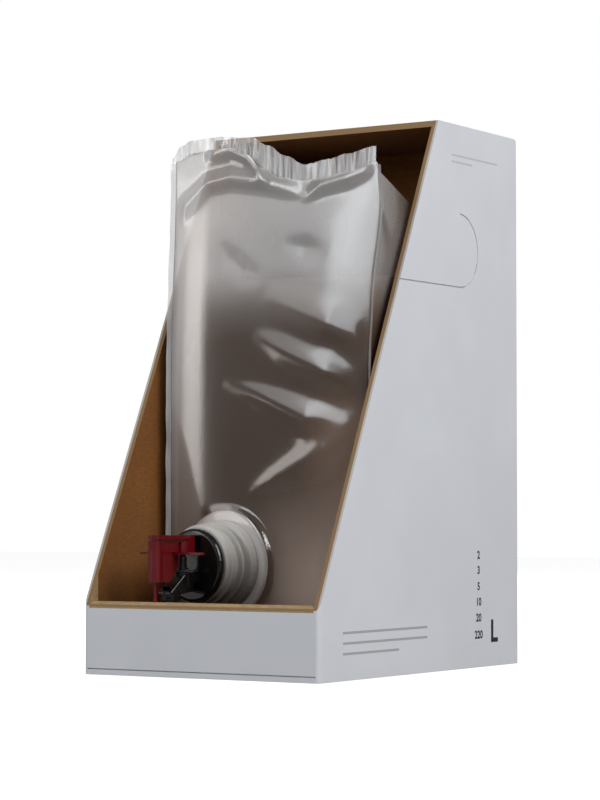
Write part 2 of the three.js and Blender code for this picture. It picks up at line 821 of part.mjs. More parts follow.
function stemGeometry() {
  const headMiddle = pivotHeight - stemHeadDrop;
  const headLow = headMiddle - stemHeadHalf;
  const headHigh = headMiddle + stemHeadHalf;
  const flangeLow = sealHigh + clearance;
  const outline = [
    [0, sealLow],
    [stemSpigotRadius, sealLow],
    [stemSpigotRadius, flangeLow],
    [stemFlangeRadius, flangeLow],
    [stemFlangeRadius, flangeLow + stemFlangeHeight],
    [stemFootRadius, flangeLow + stemFlangeHeight + stemChamfer],
    [stemFootRadius, collarLow],
    [stemCollarRadius, collarLow],
    [stemCollarRadius, collarLow + collarHeight],
    [stemRadius, collarLow + collarHeight + stemChamfer],
    [stemRadius, leverFoot - stemShoulderDrop],
    [stemNeckRadius, leverFoot - clearance],
    [stemNeckRadius, headLow - stemHeadCone],
    [stemHeadRadius, headLow],
    [stemHeadRadius, headHigh],
    [stemHeadRadius - stemHeadRound, headHigh + stemHeadRound],
    [0, headHigh + stemHeadRound],
  ];
  return turned(outline).translate(0, -stemAt, 0);
}

function valveSealGeometry() {
  const inner = stemSpigotRadius + clearance;
  const outer = chamberBore - valveSealInset;
  return turned([
    [inner, sealLow],
    [outer - valveSealTaper, sealLow],
    [outer, sealLow + valveSealTaper],
    [outer, sealHigh],
    [inner, sealHigh],
  ]).translate(0, -stemAt, 0);
}

function diaphragmGeometry() {
  const inner = stemFootRadius + clearance;
  const outer = chamberRadius - diaphragmInset;
  const low = diaphragmLow;
  const high = low + diaphragmWall;
  return turned([
    [inner, low],
    [outer, low],
    [outer, high],
    [inner, high],
  ]).translate(0, -stemAt, 0);
}

const group = new THREE.Group();
group.add(named('carton', cartonGeometry(), material(colours.boardFace, 0.75)));
group.add(named('bag_film', filmGeometry(), material(colours.film, 0.2, { transparent: true, opacity: 0.6 })));
group.add(named('wine', wineGeometry(), material(colours.wine, 0.1)));
tap.add(named('gland', glandGeometry(), material(colours.gland, 0.4)));
tap.add(named('tap_body', tapBodyGeometry(), material(colours.black, 0.25)));
tap.add(named('neck_seal', neckSealGeometry(), material(colours.elastic, 0.6)));
tap.add(named('lever', leverGeometry(), material(colours.red, 0.3)));
tap.add(named('lever_pin', leverPinGeometry(), material(colours.black, 0.3)));
tap.add(named('tamper_pin', tamperPinGeometry(), material(colours.red, 0.3)));
tap.add(named('valve_stem', stemGeometry(), material(colours.black, 0.25)));
tap.add(named('valve_seal', valveSealGeometry(), material(colours.elastic, 0.6)));
tap.add(named('diaphragm', diaphragmGeometry(), material(colours.elastic, 0.5)));
group.add(tap);

export default group;
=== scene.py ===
import math

import bpy
from mathutils import Euler, Matrix, Vector, noise


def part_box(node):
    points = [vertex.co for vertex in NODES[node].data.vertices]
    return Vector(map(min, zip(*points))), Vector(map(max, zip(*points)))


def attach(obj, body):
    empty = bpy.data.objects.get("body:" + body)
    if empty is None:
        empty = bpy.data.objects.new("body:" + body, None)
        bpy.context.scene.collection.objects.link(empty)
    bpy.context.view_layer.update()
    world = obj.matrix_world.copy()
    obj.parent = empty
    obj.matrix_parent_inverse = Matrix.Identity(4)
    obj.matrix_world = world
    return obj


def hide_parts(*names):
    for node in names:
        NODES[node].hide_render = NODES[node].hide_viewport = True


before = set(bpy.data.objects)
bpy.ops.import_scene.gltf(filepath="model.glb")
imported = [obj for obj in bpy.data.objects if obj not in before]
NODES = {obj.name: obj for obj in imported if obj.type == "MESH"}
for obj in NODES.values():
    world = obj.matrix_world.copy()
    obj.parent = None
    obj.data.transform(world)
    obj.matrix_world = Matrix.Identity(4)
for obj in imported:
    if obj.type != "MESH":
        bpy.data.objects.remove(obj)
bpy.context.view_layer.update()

MM = 0.001
BODY = "pack"

# The carton: its box comes from the frame, its board and the ends of its cuts are as in the solids
CARTON_LOW, CARTON_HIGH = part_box("carton")
HALF_WIDTH = CARTON_HIGH.x
FRONT = CARTON_LOW.y
BACK = CARTON_HIGH.y
TOP = CARTON_HIGH.z
BOARD = 3.3 * MM
LIP_CREASE = 32.9 * MM
SIDE_LIP = 34 * MM
TOP_FRONT = 14.5 * MM

# The gland, in millimetres: its flange's middle and turn, and where the film is welded on and cut out
GLAND_X, GLAND_Y, GLAND_Z = -23.2, -44.6, 53.6
GLAND_TURN = math.radians(6)
WELD_RADIUS, WELD_END, HOLE = 28.2, 31.6, 22.9
WELD_OUT = 0.4

# Camera at the photograph's viewing angle, in metres and degrees, its sensor and lens in millimetres
CAMERA_PLACE = (0.7248, -1.1429, 0.0808)
CAMERA_YAW, CAMERA_PITCH = 32.58, 2.43
SENSOR_WIDTH, LENS = 36, 117.94
NEAREST, FARTHEST = 0.05, 50

# Soft lights, in metres and watts: name, place, direction, width and height, power, colour
AHEAD = (0, 1, 0)
WHITE, COOL, WARM = (1, 1, 1), (0.9, 0.95, 1), (1, 0.95, 0.91)
LIGHTS = [
    ("Key", (1.25, -0.4, 1.05), (-1.25, 0.4, -0.9), (0.9, 0.9), 19, WHITE),
    ("Panel", (-0.75, -1.25, 0.88), AHEAD, (0.62, 0.86), 2.7, WHITE),
    ("Window", (-0.41, -1.22, 0.68), AHEAD, (0.38, 0.64), 3.3, COOL),
    ("Behind", (-1.0, 1.5, 0.9), (1.0, -1.5, -0.75), (1.1, 0.9), 12, WHITE),
    ("Strip", (-1.18, -1.24, 0.52), AHEAD, (0.29, 0.96), 3.4, WARM),
]

# The world and the floor are white to the camera and dimmer to everything else
WORLD_TINT, WORLD_STRENGTH = (0.94, 0.96, 1, 1), 0.22
FLOOR_SIZE, FLOOR_DROP = 6, 0.0002
FLOOR_SEEN, FLOOR_GLOW, FLOOR_LIT = (0.6, 0.6, 0.6), 0.82, (0.3, 0.3, 0.3)


def make_camera():
    data = bpy.data.cameras.new("Camera")
    data.sensor_width = SENSOR_WIDTH
    data.lens = LENS
    data.clip_start = NEAREST
    data.clip_end = FARTHEST
    camera = bpy.data.objects.new("Camera", data)
    camera.location = CAMERA_PLACE
    camera.rotation_euler = (math.pi / 2 + math.radians(CAMERA_PITCH), 0, math.radians(CAMERA_YAW))
    bpy.context.scene.collection.objects.link(camera)
    bpy.context.scene.camera = camera


def add_light(name, place, facing, size, power, colour):
    data = bpy.data.lights.new(name, "AREA")
    data.shape = "RECTANGLE"
    data.size, data.size_y = size
    data.energy = power
    data.color = colour
    light = bpy.data.objects.new(name, data)
    light.location = place
    light.rotation_euler = Vector(facing).to_track_quat("-Z", "Y").to_euler()
    bpy.context.scene.collection.objects.link(light)


def seen_or_lit(tree, seen, lit):
    """Mixes what the camera sees with what lights the object."""
    path = tree.nodes.new("ShaderNodeLightPath")
    mix = tree.nodes.new("ShaderNodeMixShader")
    tree.links.new(path.outputs["Is Camera Ray"], mix.inputs[0])
    tree.links.new(lit.outputs[0], mix.inputs[1])
    tree.links.new(seen.outputs[0], mix.inputs[2])
    return mix.outputs[0]


def make_world():
    world = bpy.data.worlds.new("Studio")
    bpy.context.scene.world = world
    world.use_nodes = True
    tree = world.node_tree
    tree.nodes.clear()
    output = tree.nodes.new("ShaderNodeOutputWorld")
    seen, lit = (tree.nodes.new("ShaderNodeBackground") for _ in range(2))
    seen.inputs["Color"].default_value = (*WHITE, 1)
    seen.inputs["Strength"].default_value = 1.0
    lit.inputs["Color"].default_value = WORLD_TINT
    lit.inputs["Strength"].default_value = WORLD_STRENGTH
    tree.links.new(seen_or_lit(tree, seen, lit), output.inputs["Surface"])


def make_stage():
    # The standard view keeps the white of the floor and the world white
    bpy.context.scene.view_settings.view_transform = "Standard"
    make_world()
    bpy.ops.mesh.primitive_plane_add(size=FLOOR_SIZE, location=(0, 0, -FLOOR_DROP))
    floor = bpy.context.object
    floor.name = "Floor"
    floor.data.materials.append(floor_material())
    for light in LIGHTS:
        add_light(*light)


# Usual reach of a noise, and how strongly a clear film shines at a flat angle
NOISE_LOW, NOISE_HIGH = 0.3, 0.7
RIM_POWER, RIM_GLOSS = 4.0, 0.8


class Shader:
    """A material's node tree, with short calls for the nodes that the finishes share."""

    def __init__(self, name):
        self.material = bpy.data.materials.new(name)
        self.material.use_nodes = True
        self.tree = self.material.node_tree
        self.nodes = self.tree.nodes
        self.bsdf = self.nodes["Principled BSDF"]
        self.surface = self.nodes["Material Output"].inputs["Surface"]

    def put(self, socket, value):
        """Links or sets a socket, and gives a colour of three numbers its alpha."""
        if isinstance(value, bpy.types.NodeSocket):
            self.tree.links.new(value, socket)
        elif isinstance(value, tuple) and socket.type == "RGBA":
            socket.default_value = (*value, 1)
        else:
            socket.default_value = value

    def set(self, **values):
        """Links or sets sockets of the main shader, named with underscores for spaces."""
        for name, value in values.items():
            self.put(self.bsdf.inputs[name.replace("_", " ")], value)

    def node(self, kind, **values):
        """A new node, with its inputs named with underscores for spaces."""
        node = self.nodes.new(kind)
        for name, value in values.items():
            self.put(node.inputs[name.replace("_", " ")], value)
        return node

    def place(self):
        return self.nodes.new("ShaderNodeTexCoord").outputs["Object"]

    def normal(self):
        return self.nodes.new("ShaderNodeNewGeometry").outputs["Normal"]

    def split(self, vector):
        return self.node("ShaderNodeSeparateXYZ", Vector=vector).outputs

    def math(self, operation, a, b=0.0, clamp=False):
        node = self.nodes.new("ShaderNodeMath")
        node.operation = operation
        node.use_clamp = clamp
        self.put(node.inputs[0], a)
        self.put(node.inputs[1], b)
        return node.outputs[0]

    def minus(self, a, b):
        return self.math("SUBTRACT", a, b)

    def above(self, value, limit):
        return self.math("GREATER_THAN", value, limit)

    def below(self, value, limit):
        return self.math("LESS_THAN", value, limit)

    def greater(self, a, b):
        return self.math("MAXIMUM", a, b)

    def all_of(self, *values):
        total = values[0]
        for value in values[1:]:
            total = self.math("MULTIPLY", total, value)
        return total

    def mix(self, share, a, b):
        """A colour between two colours."""
        node = self.nodes.new("ShaderNodeMix")
        node.data_type = "RGBA"
        self.put(node.inputs["Factor"], share)
        self.put(node.inputs[6], a)
        self.put(node.inputs[7], b)
        return node.outputs[2]

    def blend(self, share, a, b):
        """A number between two numbers."""
        node = self.nodes.new("ShaderNodeMix")
        node.data_type = "FLOAT"
        self.put(node.inputs["Factor"], share)
        self.put(node.inputs[2], a)
        self.put(node.inputs[3], b)
        return node.outputs[0]

    def ramp(self, value, low, high, to_low=0.0, to_high=1.0):
        """Leads a value smoothly from one range into another."""
        node = self.node("ShaderNodeMapRange", Value=value, From_Min=low, From_Max=high)
        node.interpolation_type = "SMOOTHSTEP"
        self.put(node.inputs["To Min"], to_low)
        self.put(node.inputs["To Max"], to_high)
        return node.outputs[0]

    def fade(self, value, start, end, to_start=0.0, to_end=1.0):
        """Leads a coordinate into a share between two places given in millimetres."""
        return self.ramp(value, start * MM, end * MM, to_start, to_end)

    def vary(self, clouds, low=0.0, high=1.0):
        """Spreads a noise over a range."""
        return self.ramp(clouds, NOISE_LOW, NOISE_HIGH, low, high)

    def clouds(self, scale, detail=3.0, roughness=0.5):
        """A noise in the object's own coordinates, with one scale or one for each axis."""
        place = self.place()
        if isinstance(scale, tuple):
            place = self.node("ShaderNodeMapping", Vector=place, Scale=scale).outputs[0]
            scale = 1.0
        node = self.node("ShaderNodeTexNoise", Vector=place, Scale=scale, Detail=detail)
        node.inputs["Roughness"].default_value = roughness
        return node.outputs[0]

    def bump(self, height, strength, distance):
        """Makes the surface uneven, and returns its normal."""
        node = self.node("ShaderNodeBump", Strength=strength, Distance=distance, Height=height)
        self.set(Normal=node.outputs[0])
        return node.outputs[0]

    def film_gloss(self, base, roughness, normal):
        """Lays a clear gloss over the shader, which stays when the shader itself lets light through."""
        facing = self.node("ShaderNodeLayerWeight", Blend=0.5).outputs["Facing"]
        rim = self.math("MULTIPLY", self.math("POWER", facing, RIM_POWER), RIM_GLOSS)
        share = self.math("ADD", base, rim, clamp=True)
        gloss = self.node("ShaderNodeBsdfGlossy", Roughness=roughness, Normal=normal)
        mix = self.nodes.new("ShaderNodeMixShader")
        self.put(mix.inputs[0], share)
        self.put(mix.inputs[1], self.bsdf.outputs[0])
        self.put(mix.inputs[2], gloss.outputs[0])
        self.put(self.surface, mix.outputs[0])


def floor_material():
    s = Shader("floor")
    s.set(Base_Color=FLOOR_SEEN, Roughness=0.9, Emission_Color=WHITE, Emission_Strength=FLOOR_GLOW)
    lit = s.node("ShaderNodeBsdfDiffuse", Color=FLOOR_LIT)
    s.put(s.surface, seen_or_lit(s.tree, s.bsdf, lit))
    return s.material


# Colours of the board: kraft inside, fibres on the lip, brown cuts with a pale liner, white print
KRAFT_DARK, KRAFT_LIGHT = (0.18, 0.064, 0.008), (0.245, 0.095, 0.016)
KRAFT_SPOT = (0.14, 0.046, 0.008)
LIP_DARK, LIP_LIGHT = (0.34, 0.225, 0.10), (0.44, 0.31, 0.165)
CUT_BROWN, LINER = (0.27, 0.165, 0.075), (0.70, 0.70, 0.70)
PRINT_DARK, PRINT_LIGHT = (0.70, 0.715, 0.75), (0.735, 0.75, 0.785)

# How deep under the outside a face still counts as printed, how squarely a face has to point to be
# a cut or the right panel, and how far past the boards the lip is looked for
PRINT_DEPTH = 1.5 * MM
CUT_FACING, PANEL_FACING = 0.985, 0.9
LIP_BACK, LIP_SIDE = 0.5 * MM, 0.2 * MM

# Bars for the lines of small text on the right panel, in millimetres: foot, top, front end, back end
PALE_INK, FAINT_INK = (0.42, 0.42, 0.44), (0.55, 0.56, 0.6)
TEXT_BARS = [
    (22.2, 23.4, -78.8, 2.0, PALE_INK),
    (17.2, 18.4, -78.8, 2.0, PALE_INK),
    (12.2, 13.4, -78.8, -26.0, PALE_INK),
    (263.4, 264.4, 28.0, 77.0, FAINT_INK),
    (260.0, 261.0, 28.0, 50.0, FAINT_INK),
]


def cut_mask(s):
    """The slanted cut edges of the side panels."""
    run, rise = TOP_FRONT - FRONT, TOP - SIDE_LIP
    length = math.hypot(run, rise)
    _, ny, nz = s.split(s.normal())
    forward = s.math("MULTIPLY", ny, -rise / length)
    upward = s.math("MULTIPLY", nz, run / length)
    return s.above(s.math("ADD", forward, upward), CUT_FACING)


def lip_mask(s, across, y, z):
    """The rolled-over top of the front wall."""
    return s.all_of(
        s.above(z, LIP_CREASE),
        s.below(y, FRONT + 2 * BOARD + LIP_BACK),
        s.below(across, HALF_WIDTH - BOARD + LIP_SIDE),
    )


def with_text_bars(s, white, y, z):
    """Prints the bars onto the white of the right panel."""
    panel = s.above(s.split(s.normal())[0], PANEL_FACING)
    for low, high, front, back, ink in TEXT_BARS:
        line = s.all_of(s.above(z, low * MM), s.below(z, high * MM))
        stretch = s.all_of(s.above(y, front * MM), s.below(y, back * MM))
        white = s.mix(s.all_of(panel, line, stretch), white, ink)
    return white


def flutes(s):
    """Faint upright waves of the board."""
    node = s.node("ShaderNodeTexWave", Vector=s.place(), Scale=48.0, Distortion=0.3)
    node.wave_type = "BANDS"
    node.bands_direction = "Y"
    return node.outputs[1]


# White print outside, bare kraft inside, paler fibres where the board is rolled or cut
def board_material():
    s = Shader("board")
    x, y, z = s.split(s.place())
    across = s.math("ABSOLUTE", x)
    from_side = s.minus(HALF_WIDTH, across)
    depth = from_side
    for other in (s.minus(y, FRONT), s.minus(BACK, y), s.minus(TOP, z), z):
        depth = s.math("MINIMUM", depth, other)
    cut = cut_mask(s)
    lip = lip_mask(s, across, y, z)
    printed = s.all_of(s.below(depth, PRINT_DEPTH), s.minus(1.0, cut), s.minus(1.0, lip))

    grain = s.clouds((260, 260, 900), 5.0, 0.6)
    cloud = s.clouds(22.0)
    kraft = s.mix(s.ramp(grain, 0.3, 0.75), KRAFT_DARK, KRAFT_LIGHT)
    kraft = s.mix(s.ramp(cloud, 0.35, 0.7, 0.0, 0.35), kraft, KRAFT_SPOT)
    edge = s.mix(cut, s.mix(s.vary(grain), LIP_DARK, LIP_LIGHT), CUT_BROWN)
    liner = s.all_of(cut, s.fade(from_side, 1.5, 0.9, 0.0, 0.6))
    bare = s.mix(s.greater(cut, lip), kraft, s.mix(liner, edge, LINER))
    white = with_text_bars(s, s.mix(s.vary(cloud), PRINT_DARK, PRINT_LIGHT), y, z)
    s.set(Base_Color=s.mix(printed, bare, white))
    s.set(Roughness=s.blend(printed, 0.85, s.ramp(grain, 0.2, 0.8, 0.5, 0.62)))
    height = s.math("ADD", s.math("MULTIPLY", grain, 0.35), s.math("MULTIPLY", flutes(s), 0.25))
    s.bump(height, 0.12, 0.3 * MM)
    return s.material


# Colours of the clear film: wet, dry (milky, and in part a painted reflection of the soft panel), and a
# painted reflection of the strip light
WET_FILM = (0.30, 0.22, 0.17)
DRY_DARK, DRY_LIGHT = (0.56, 0.53, 0.515), (0.66, 0.63, 0.61)
STRIP_REFLECTION_COLOUR = (0.86, 0.80, 0.76)
WET_EDGE_WAVER = 12 * MM


# Clear film: milky over the headspace, where the milk is in part a painted reflection of the soft
# panel, with a painted reflection along its far-left edge, and clear where the wine wets it
def film_material():
    s = Shader("film")
    x, y, z = s.split(s.place())
    cloud = s.clouds(14.0)
    fine = s.clouds((60, 60, 25))
    dry = s.fade(s.math("ADD", z, s.math("MULTIPLY", cloud, WET_EDGE_WAVER)), 180, 212)
    # The headspace milk is partly the dry film's own haze and partly a painted reflection of the soft
    # panel; it is weaker on the right side towards the back
    near = s.greater(s.fade(y, 10, -35), s.fade(x, 58, 30))
    # Painted reflection along the film's far-left front edge: milky and pale, more so upwards
    corner = s.all_of(s.fade(x, -50, -57), s.fade(y, 20, -30), s.fade(z, 20, 150, 0.45))
    milk_and_reflection = s.greater(s.all_of(dry, s.blend(near, 0.2, 1.0)), corner)
    # Painted reflection of the strip light: an upright pale band on the film's left, less clear than
    # the film around it
    strip_reflection = s.all_of(
        s.fade(x, -33, -40),
        s.fade(x, -58, -53),
        s.fade(y, -30, -38),
        s.fade(z, 30, 220, 0.35),
        s.fade(z, 252, 205, 0.3),
    )
    haze_and_reflection = s.mix(milk_and_reflection, WET_FILM, s.mix(cloud, DRY_DARK, DRY_LIGHT))
    s.set(Base_Color=s.mix(strip_reflection, haze_and_reflection, STRIP_REFLECTION_COLOUR), Roughness=s.vary(fine, 0.25, 0.35))
    clear = s.blend(milk_and_reflection, s.vary(cloud, 0.08, 0.13), s.vary(cloud, 0.46, 0.54))
    s.set(Alpha=s.blend(strip_reflection, clear, 0.66))
    s.film_gloss(0.085, 0.13, s.bump(fine, 0.05, 1.0 * MM))
    return s.material


def seal_material():
    s = Shader("film_seal")
    fine = s.clouds((240, 240, 20))
    s.set(Base_Color=s.mix(fine, (0.50, 0.48, 0.47), (0.70, 0.68, 0.67)))
    s.set(Roughness=s.vary(fine, 0.2, 0.3), Alpha=s.vary(fine, 0.48, 0.66))
    s.film_gloss(0.07, 0.18, s.bump(fine, 0.12, 1.0 * MM))
    return s.material


# Colours of the wine: its depth, where light comes through, and a painted reflection of the window
# light just under its level
DEEP_DARK, DEEP_LIGHT = (0.052, 0.026, 0.014), (0.105, 0.060, 0.038)
RIGHT_GLOW, LOW_GLOW = (0.26, 0.165, 0.11), (0.85, 0.68, 0.57)
WINDOW_REFLECTION_UNDER_LEVEL = (0.24, 0.205, 0.185)


def wine_material():
    s = Shader("wine")
    x, _, z = s.split(s.place())
    cloud = s.clouds((9, 9, 5), 2.0)
    body = s.mix(s.ramp(cloud, 0.35, 0.7), DEEP_DARK, DEEP_LIGHT)
    right = s.all_of(s.fade(x, 15, 48), s.fade(z, 150, 115))
    body = s.mix(right, body, RIGHT_GLOW)
    low_right = s.all_of(s.fade(z, 105, 12), s.fade(x, -14, 26))
    body = s.mix(low_right, body, LOW_GLOW)
    # Painted reflection of the window light: the wine turns pale grey just under its level
    s.set(Base_Color=s.mix(s.fade(z, 165, 198), body, WINDOW_REFLECTION_UNDER_LEVEL))
    s.set(Roughness=s.vary(cloud, 0.5, 0.6), Specular_IOR_Level=0.1)
    return s.material


# Colours of the gland: its neck from the foot up, with painted shade at its foot and painted light on
# its top, the flange's plate and rim
NECK_SHADED, NECK_LIT = (0.14, 0.122, 0.11), (0.56, 0.54, 0.51)
PLATE_DARK, PLATE_LIGHT = (0.74, 0.71, 0.69), (0.82, 0.79, 0.77)
RIM = (0.60, 0.57, 0.55)


# Milky plastic: the flange's plate is whiter than its rim and than the hollow neck, whose painted shade
# darkens it towards its foot
def gland_material():
    s = Shader("gland")
    x, _, z = s.split(s.place())
    cloud = s.clouds(40.0)
    offsets = s.minus(x, GLAND_X * MM), s.minus(z, GLAND_Z * MM)
    squares = [s.math("MULTIPLY", offset, offset) for offset in offsets]
    radius = s.math("SQRT", s.math("ADD", *squares))
    # Painted shade and light: the neck runs from dark at its foot to light on its top
    neck = s.mix(s.fade(z, 30, 80), NECK_SHADED, NECK_LIT)
    plate = s.mix(cloud, PLATE_DARK, PLATE_LIGHT)
    flange = s.mix(s.fade(radius, 26.2, 26.8), plate, RIM)
    s.set(Base_Color=s.mix(s.fade(radius, 22.3, 23.0), neck, flange))
    s.set(Roughness=s.vary(cloud, 0.28, 0.38))
    s.set(Subsurface_Weight=0.15, Subsurface_Radius=(0.003, 0.0025, 0.002))
    s.bump(cloud, 0.05, 0.2 * MM)
    return s.material


def plastic_material(name, dark, light, rough, gloss=0.5, tint=WHITE):
    s = Shader(name)
    cloud = s.clouds(60.0)
    s.set(Base_Color=s.mix(cloud, dark, light), Roughness=s.vary(cloud, rough - 0.04, rough + 0.06))
    s.set(Specular_IOR_Level=gloss, Specular_Tint=tint)
    return s.material


def dress(material, *nodes):
    for node in nodes:
        mesh = NODES[node].data
        mesh.materials.clear()
        mesh.materials.append(material)


def dress_solids():
    """Gives each solid that the scene keeps its finish."""
    dress(board_material(), "carton")
    dress(wine_material(), "wine")
    dress(gland_material(), "gland")
    black = plastic_material("black_plastic", (0.002, 0.002, 0.002), (0.004, 0.004, 0.004), 0.2, 0.6)
    dress(black, "tap_body", "lever_pin", "valve_stem")
    dark, light, shine = (0.105, 0.001, 0.003), (0.14, 0.002, 0.006), (1, 0.72, 0.7)
    red = plastic_material("red_plastic", dark, light, 0.2, 1.0, shine)
    dress(red, "lever", "tamper_pin")
    elastic = plastic_material("elastomer", (0.012, 0.012, 0.012), (0.02, 0.02, 0.02), 0.5)
    dress(elastic, "neck_seal", "valve_seal", "diaphragm")


def new_piece(name, verts, faces, material, slot_name, smooth=True):
    mesh = bpy.data.meshes.new(name)
    mesh.from_pydata([tuple(v) for v in verts], [], faces)
    mesh.validate()
    mesh.materials.append(material)
    if smooth:
        mesh.shade_smooth()
    piece = bpy.data.objects.new(name, mesh)
    bpy.context.scene.collection.objects.link(piece)
    return piece


# Film bag, in millimetres: its front hangs from the top seal, its sides run back from two seams
BAG_LEFT, BAG_RIGHT = -57.5, 61.0
BAG_FRONT, BAG_BACK = -42.0, 90.5
BAG_FLOOR, BACK_TOP, BACK_DROOP = 3.9, 221, 10
LEAN, LEAN_FROM, LEAN_TO = 4.2, 150, 262
BULGE, BULGE_FADES, BULGE_GONE = 2.4, 222, 266
FOOT_DRAWN_IN = 22
SIDE_WAVES = 2.2

# Shares of the bag's height: the foot's floor and round, the back's full height, the start of its close
FOOT_FLOOR, FOOT_ROUND = 0.045, 0.09
BACK_FULL, BACK_CLOSES = 0.83, 0.80

# Shares of its width and depth: the narrower foot, the rounded back, and where folds and flare fade
FOOT_NARROWS = 0.14
BACK_NARROWS, BACK_ROUND_FROM, BACK_ROUND_POWER = 0.16, 0.72, 2.2
FOLDS_FADE = 0.06
FLARE_FRONT_FROM, FLARE_SIDE_TO = 0.75, 0.22
RIGHT_FLARE = [(150, 0.0), (185, 1.2), (232, 5.2), (248, 3.9), (262, 0.0)]

# Top seal: its foot and its upper edge through points of (x, z), in millimetres
SEAL_LINE = [
    (-57, 262), (-47, 265.5), (-34, 266.5), (-22, 266), (-12, 262), (-3, 254.5),
    (8, 249), (22, 246.5), (34, 247.5), (47, 249.5), (61.5, 253),
]
SEAL_TOP = [
    (-60, 263.5), (-54, 269.5), (-47, 272), (-32, 272.6), (-11, 271), (-0.5, 266),
    (10, 260), (22, 254.6), (34, 256.4), (47, 258.4), (61.5, 261),
]

# How far the seal laps over the front film, lies before it and closes on the back, and its unevenness
SEAL_LAP, SEAL_OUT, SEAL_GAP = 1.0, 0.2, 0.4
SEAL_JAGS, SEAL_WAVES, SEAL_CRINKLES = 0.5, 1.4, 0.4

# Side seams: their width, their ends as shares of the height, how they turn forward and flutter
SEAM_WIDTH, SEAM_LOW, SEAM_HIGH = 2.2, 0.06, 0.995
SEAM_TUCK, SEAM_FORWARD = 0.2, 1.6
FLUTTER_WIDE, FLUTTER_DEEP, FLUTTER_RATE = 0.18, 1.2, 0.08

# Turn just short of the front's right corner, so that it still counts as front
RIGHT_CORNER = 0.9999

# Noises in the film: how fast they run along it, their seed, and how fast they run up, per millimetre
SIDE_NOISE, JAG_NOISE = (0.03, 5.0, 0.022), (0.5, 2.0, 0.0)
WAVE_NOISE, CRINKLE_NOISE = (0.15, 9.0, 0.02), (0.4, 4.0, 0.03)

# Mesh steps: the bag's front, right, back and left, its levels, and the strips' columns and rows
BAG_COLUMNS, BAG_LEVELS = (150, 50, 34, 50), 190
SEAL_COLUMNS, SEAL_ROWS = 240, 16
SEAM_COLUMNS, SEAM_ROWS = 5, 180

# Folds of the front film through points of (x, z, width, height), in millimetres
FOLDS = [
    [(0, 190, 5, 0), (22, 180.5, 7, 0.7), (38, 174, 8, 1.3), (54, 166, 7, 0.6)],
    [(-6, 170, 4, 0), (12, 161, 6, 0.9), (38, 149, 8, 1.9), (53, 143, 7, 0.5)],
    [(-24, 146, 3, 0), (-4, 140, 5, 0.8), (27, 126.5, 8, 2.2), (47, 125, 7, 0.4)],
    [(-8, 90, 3, 0), (7, 97, 5, 0.9), (37, 110.5, 9, 2.1), (53, 124, 7, 0.4)],
    [(-55, 230, 3, 0), (-50, 238, 4, 1.6), (-36, 249, 4, 2.4), (-22, 251, 4.5, 2.8),
     (-4, 248, 4.5, 2.4), (16, 242, 4, 1.0), (24, 239, 3, 0)],
    [(-40, 262, 3, 0), (-33, 264, 3.5, 1.6), (-22, 265.5, 4, 2.2), (-12, 261, 4, 2.4),
     (-4, 253, 4, 2.2), (3, 246, 3, 0)],
    [(20, 236, 3, 0), (33, 243.5, 4, 2.0), (46, 246.5, 4, 2.2), (59, 251, 3, 0.8)],
    [(-27, 218, 3, 0), (-20, 209, 5, -0.35), (-12, 202, 5, -0.4), (-1, 198, 4, 0)],
    [(10, 215, 4, 0), (24, 212, 5, -0.45), (37, 208, 5, 0)],
    [(30, 18, 6, 0), (36, 50, 8, 0.8), (42, 84, 6, 0)],
]
FOLD_REACH = 3


def clamped(value):
    return min(max(value, 0), 1)


def smoothstep(low, high, value):
    t = clamped((value - low) / (high - low))
    return t * t * (3 - 2 * t)


def interpolate(points, x):
    """Height at x of a smooth line through the points."""
    for (x0, y0), (x1, y1) in zip(points, points[1:]):
        if x <= x1:
            return y0 + (y1 - y0) * smoothstep(x0, x1, x)
    return points[-1][1]


def film_noise(rates, along, up, side=1):
    """Smooth noise at a place on the film."""
    fast, seed, rising = rates
    return noise.noise(Vector((fast * along, seed * side, rising * up)))


def front_depth(z):
    """Where the front film lies at height z, before it bulges and folds."""
    return BAG_FRONT + LEAN * smoothstep(LEAN_FROM, LEAN_TO, z)


def fold_height(x, z):
    """How far the folds lift the front film at a point."""
    total = 0.0
    for fold in FOLDS:
        best = None
        for (x0, z0, w0, h0), (x1, z1, w1, h1) in zip(fold, fold[1:]):
            dx, dz = x1 - x0, z1 - z0
            t = clamped(((x - x0) * dx + (z - z0) * dz) / (dx * dx + dz * dz))
            away = math.hypot(x - x0 - t * dx, z - z0 - t * dz)
            if best is None or away < best[0]:
                best = (away, w0 + (w1 - w0) * t, h0 + (h1 - h0) * t)
        away, width, height = best
        if away < FOLD_REACH * width:
            total += height * math.exp(-(away / width) ** 2)
    return total


def front_relief(x, z, t):
    """How far the front film's bulge and folds stand out, t being the share of the way across."""
    bulge = BULGE * (1 - abs(2 * t - 1) ** 4) * smoothstep(BULGE_GONE, BULGE_FADES, z)
    inner = smoothstep(0.0, FOLDS_FADE, t) * smoothstep(1.0, 1 - FOLDS_FADE, t)
    return bulge + fold_height(x, z) * inner


def weld_distance(x, z):
    return math.hypot((x - GLAND_X) / math.cos(GLAND_TURN), z - GLAND_Z)


def onto_flange(x, y, z):
    """Draws the front film onto the gland's flange."""
    plane = GLAND_Y - WELD_OUT - (x - GLAND_X) * math.tan(GLAND_TURN)
    share = smoothstep(WELD_END, WELD_RADIUS, weld_distance(x, z))
    return y + (plane - y) * share


def side_of(turn):
    """The bag's side at a turn, the share along it, and how far across and back that is."""
    side, t = int(turn) % 4, turn % 1.0
    across = (2 * t - 1, 1.0, 1 - 2 * t, -1.0)[side]
    deep = (0.0, t, 1.0, 1 - t)[side]
    return side, t, across, deep


